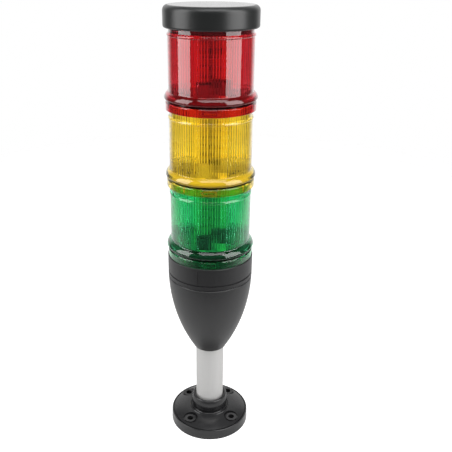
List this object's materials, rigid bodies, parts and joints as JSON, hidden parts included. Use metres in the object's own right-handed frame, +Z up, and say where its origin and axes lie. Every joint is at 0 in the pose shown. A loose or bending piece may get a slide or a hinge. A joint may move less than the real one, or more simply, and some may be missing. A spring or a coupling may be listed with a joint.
{
  "type": "stack light",
  "caption": "Signal tower with tinted lens modules on bayonet collars, a flat cap, a tapered base, and a tube on a round screw-down foot.",
  "frame": {"origin": "centre of the foot's underside, on the mounting surface", "axes": "+Z up along the tower, -Y to the front, fixing holes at 45 degrees to X and Y"},
  "size_m": [0.0732, 0.0732, 0.3753],
  "materials": {
    "foot_plastic": "black moulded plastic, semi-gloss",
    "housing_plastic": "black moulded plastic, fine satin texture",
    "cap_plastic": "black moulded plastic, satin",
    "carrier_plastic": "pale moulded plastic with black connector towers",
    "insert_plastic": "pale moulded plastic",
    "terminal_plastic": "grey moulded plastic",
    "tube_aluminium": "natural anodised, satin",
    "screw_steel": "bright zinc plated",
    "contact_metal": "plated spring bronze",
    "board_laminate": "white-coated glass fibre laminate",
    "led_package": "white package with a clear dome",
    "seal_rubber": "black rubber",
    "green_lens": "clear tinted polycarbonate, polished",
    "yellow_lens": "clear tinted polycarbonate, polished",
    "red_lens": "clear tinted polycarbonate, polished"
  },
  "bodies": {
    "base": {"mounting_foot": "foot_plastic", "support_tube": "tube_aluminium", "base_housing": "housing_plastic", "tube_grub_screw": "screw_steel", "base_head": "housing_plastic", "head_screws": "screw_steel", "terminal_block": "terminal_plastic", "terminal_screws": "screw_steel", "base_contact_pads": "contact_metal", "base_seal": "seal_rubber"},
    "green_module": {"green_lens": "green_lens", "green_contact_carrier": "carrier_plastic", "green_driver_board": "board_laminate", "green_led_board": "board_laminate", "green_leds": "led_package", "green_contact_head": "insert_plastic", "green_contact_pads": "contact_metal", "green_contact_springs": "contact_metal", "green_seal": "seal_rubber"},
    "yellow_module": {"yellow_lens": "yellow_lens", "yellow_contact_carrier": "carrier_plastic", "yellow_driver_board": "board_laminate", "yellow_led_board": "board_laminate", "yellow_leds": "led_package", "yellow_contact_head": "insert_plastic", "yellow_contact_pads": "contact_metal", "yellow_contact_springs": "contact_metal", "yellow_seal": "seal_rubber"},
    "red_module": {"red_lens": "red_lens", "red_contact_carrier": "carrier_plastic", "red_driver_board": "board_laminate", "red_led_board": "board_laminate", "red_leds": "led_package", "red_contact_head": "insert_plastic", "red_contact_pads": "contact_metal", "red_contact_springs": "contact_metal", "red_seal": "seal_rubber"},
    "top_cap": {"cap": "cap_plastic"}
  },
  "joints": [
    {"name": "green_twist", "type": "hinge", "parent": "base", "child": "green_module", "pos_m": [0, 0, 0.174], "axis": [0, 0, 1], "range_deg": [0, 25]},
    {"name": "yellow_twist", "type": "hinge", "parent": "green_module", "child": "yellow_module", "pos_m": [0, 0, 0.236], "axis": [0, 0, 1], "range_deg": [0, 25]},
    {"name": "red_twist", "type": "hinge", "parent": "yellow_module", "child": "red_module", "pos_m": [0, 0, 0.298], "axis": [0, 0, 1], "range_deg": [0, 25]},
    {"name": "cap_twist", "type": "hinge", "parent": "red_module", "child": "top_cap", "pos_m": [0, 0, 0.36], "axis": [0, 0, 1], "range_deg": [0, 25]}
  ]
}
